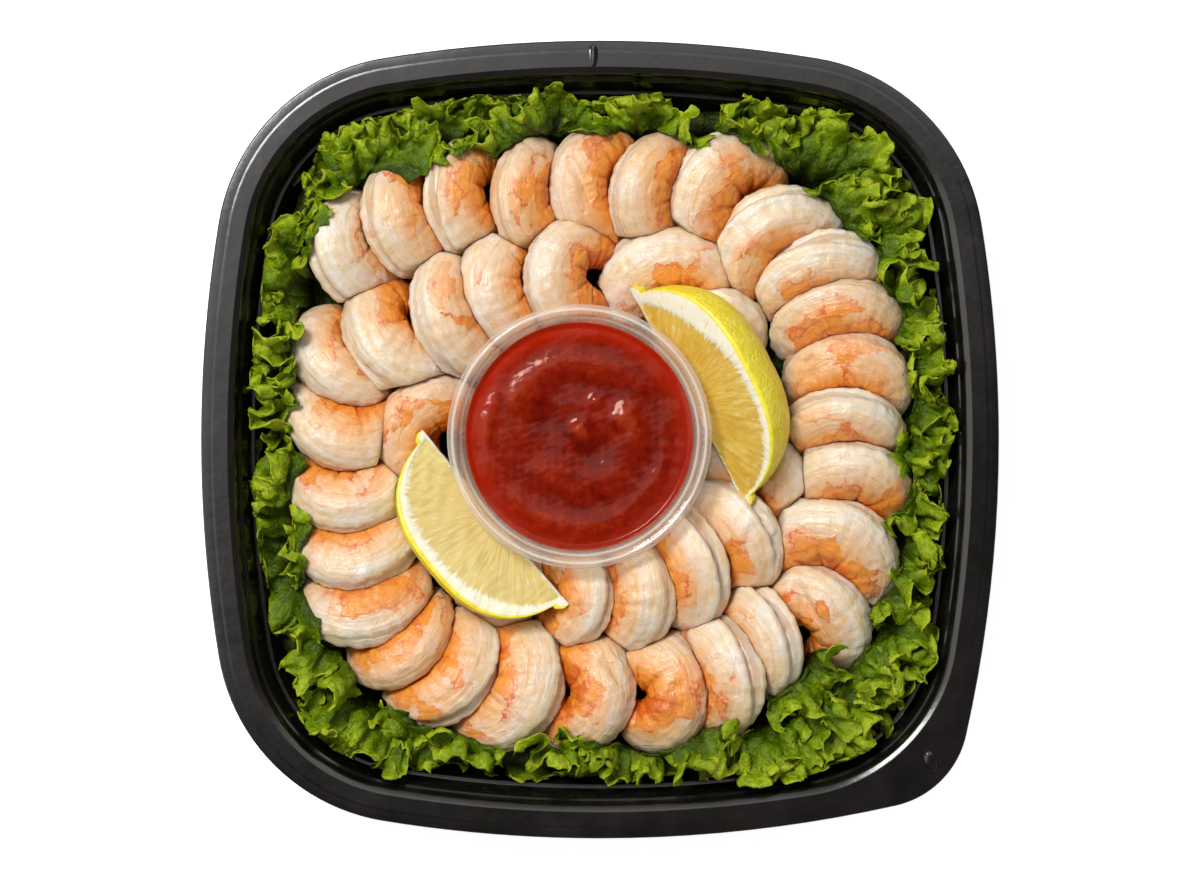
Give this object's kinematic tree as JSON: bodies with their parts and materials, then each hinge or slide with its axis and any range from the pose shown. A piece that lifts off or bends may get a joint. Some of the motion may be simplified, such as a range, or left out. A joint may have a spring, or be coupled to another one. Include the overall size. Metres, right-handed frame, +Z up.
{
  "type": "shrimp cocktail",
  "caption": "Curled peeled shrimps in two rings on frilly lettuce round a clear cup of cocktail sauce, with lemon wedges, in a square black deli tray with round corners and a pull tab",
  "frame": {"origin": "centre of the tray's box, on the plane that the tray stands on", "axes": "+Z is up out of the tray, +X points to the right lemon wedge and -Y towards the side that has the pull tab at its +X end"},
  "size_m": [0.23, 0.23, 0.0548],
  "materials": {
    "tray_plastic": "glossy black thermoformed plastic",
    "clear_plastic": "clear, glossy",
    "cocktail_sauce": "wet, glossy deep red",
    "lettuce": "frilly leaf, satin",
    "lemon": "waxy pored rind, moist flesh",
    "shrimp": "moist cooked flesh, cream with coral patches"
  },
  "bodies": {
    "root": {"tray": "tray_plastic", "cup": "clear_plastic", "sauce": "cocktail_sauce", "lettuce": "lettuce", "lemon_right": "lemon", "lemon_left": "lemon", "shrimp_01": "shrimp", "shrimp_02": "shrimp", "shrimp_03": "shrimp", "shrimp_04": "shrimp", "shrimp_05": "shrimp", "shrimp_06": "shrimp", "shrimp_07": "shrimp", "shrimp_08": "shrimp", "shrimp_09": "shrimp", "shrimp_10": "shrimp", "shrimp_11": "shrimp", "shrimp_12": "shrimp", "shrimp_13": "shrimp", "shrimp_14": "shrimp", "shrimp_15": "shrimp", "shrimp_16": "shrimp", "shrimp_17": "shrimp", "shrimp_18": "shrimp", "shrimp_19": "shrimp", "shrimp_20": "shrimp", "shrimp_21": "shrimp", "shrimp_22": "shrimp", "shrimp_23": "shrimp", "shrimp_24": "shrimp", "shrimp_25": "shrimp", "shrimp_26": "shrimp", "shrimp_27": "shrimp", "shrimp_28": "shrimp", "shrimp_29": "shrimp", "shrimp_30": "shrimp", "shrimp_31": "shrimp", "shrimp_32": "shrimp", "shrimp_33": "shrimp", "shrimp_34": "shrimp", "shrimp_35": "shrimp", "shrimp_36": "shrimp", "shrimp_37": "shrimp", "shrimp_38": "shrimp", "shrimp_39": "shrimp", "shrimp_40": "shrimp"}
  },
  "joints": []
}
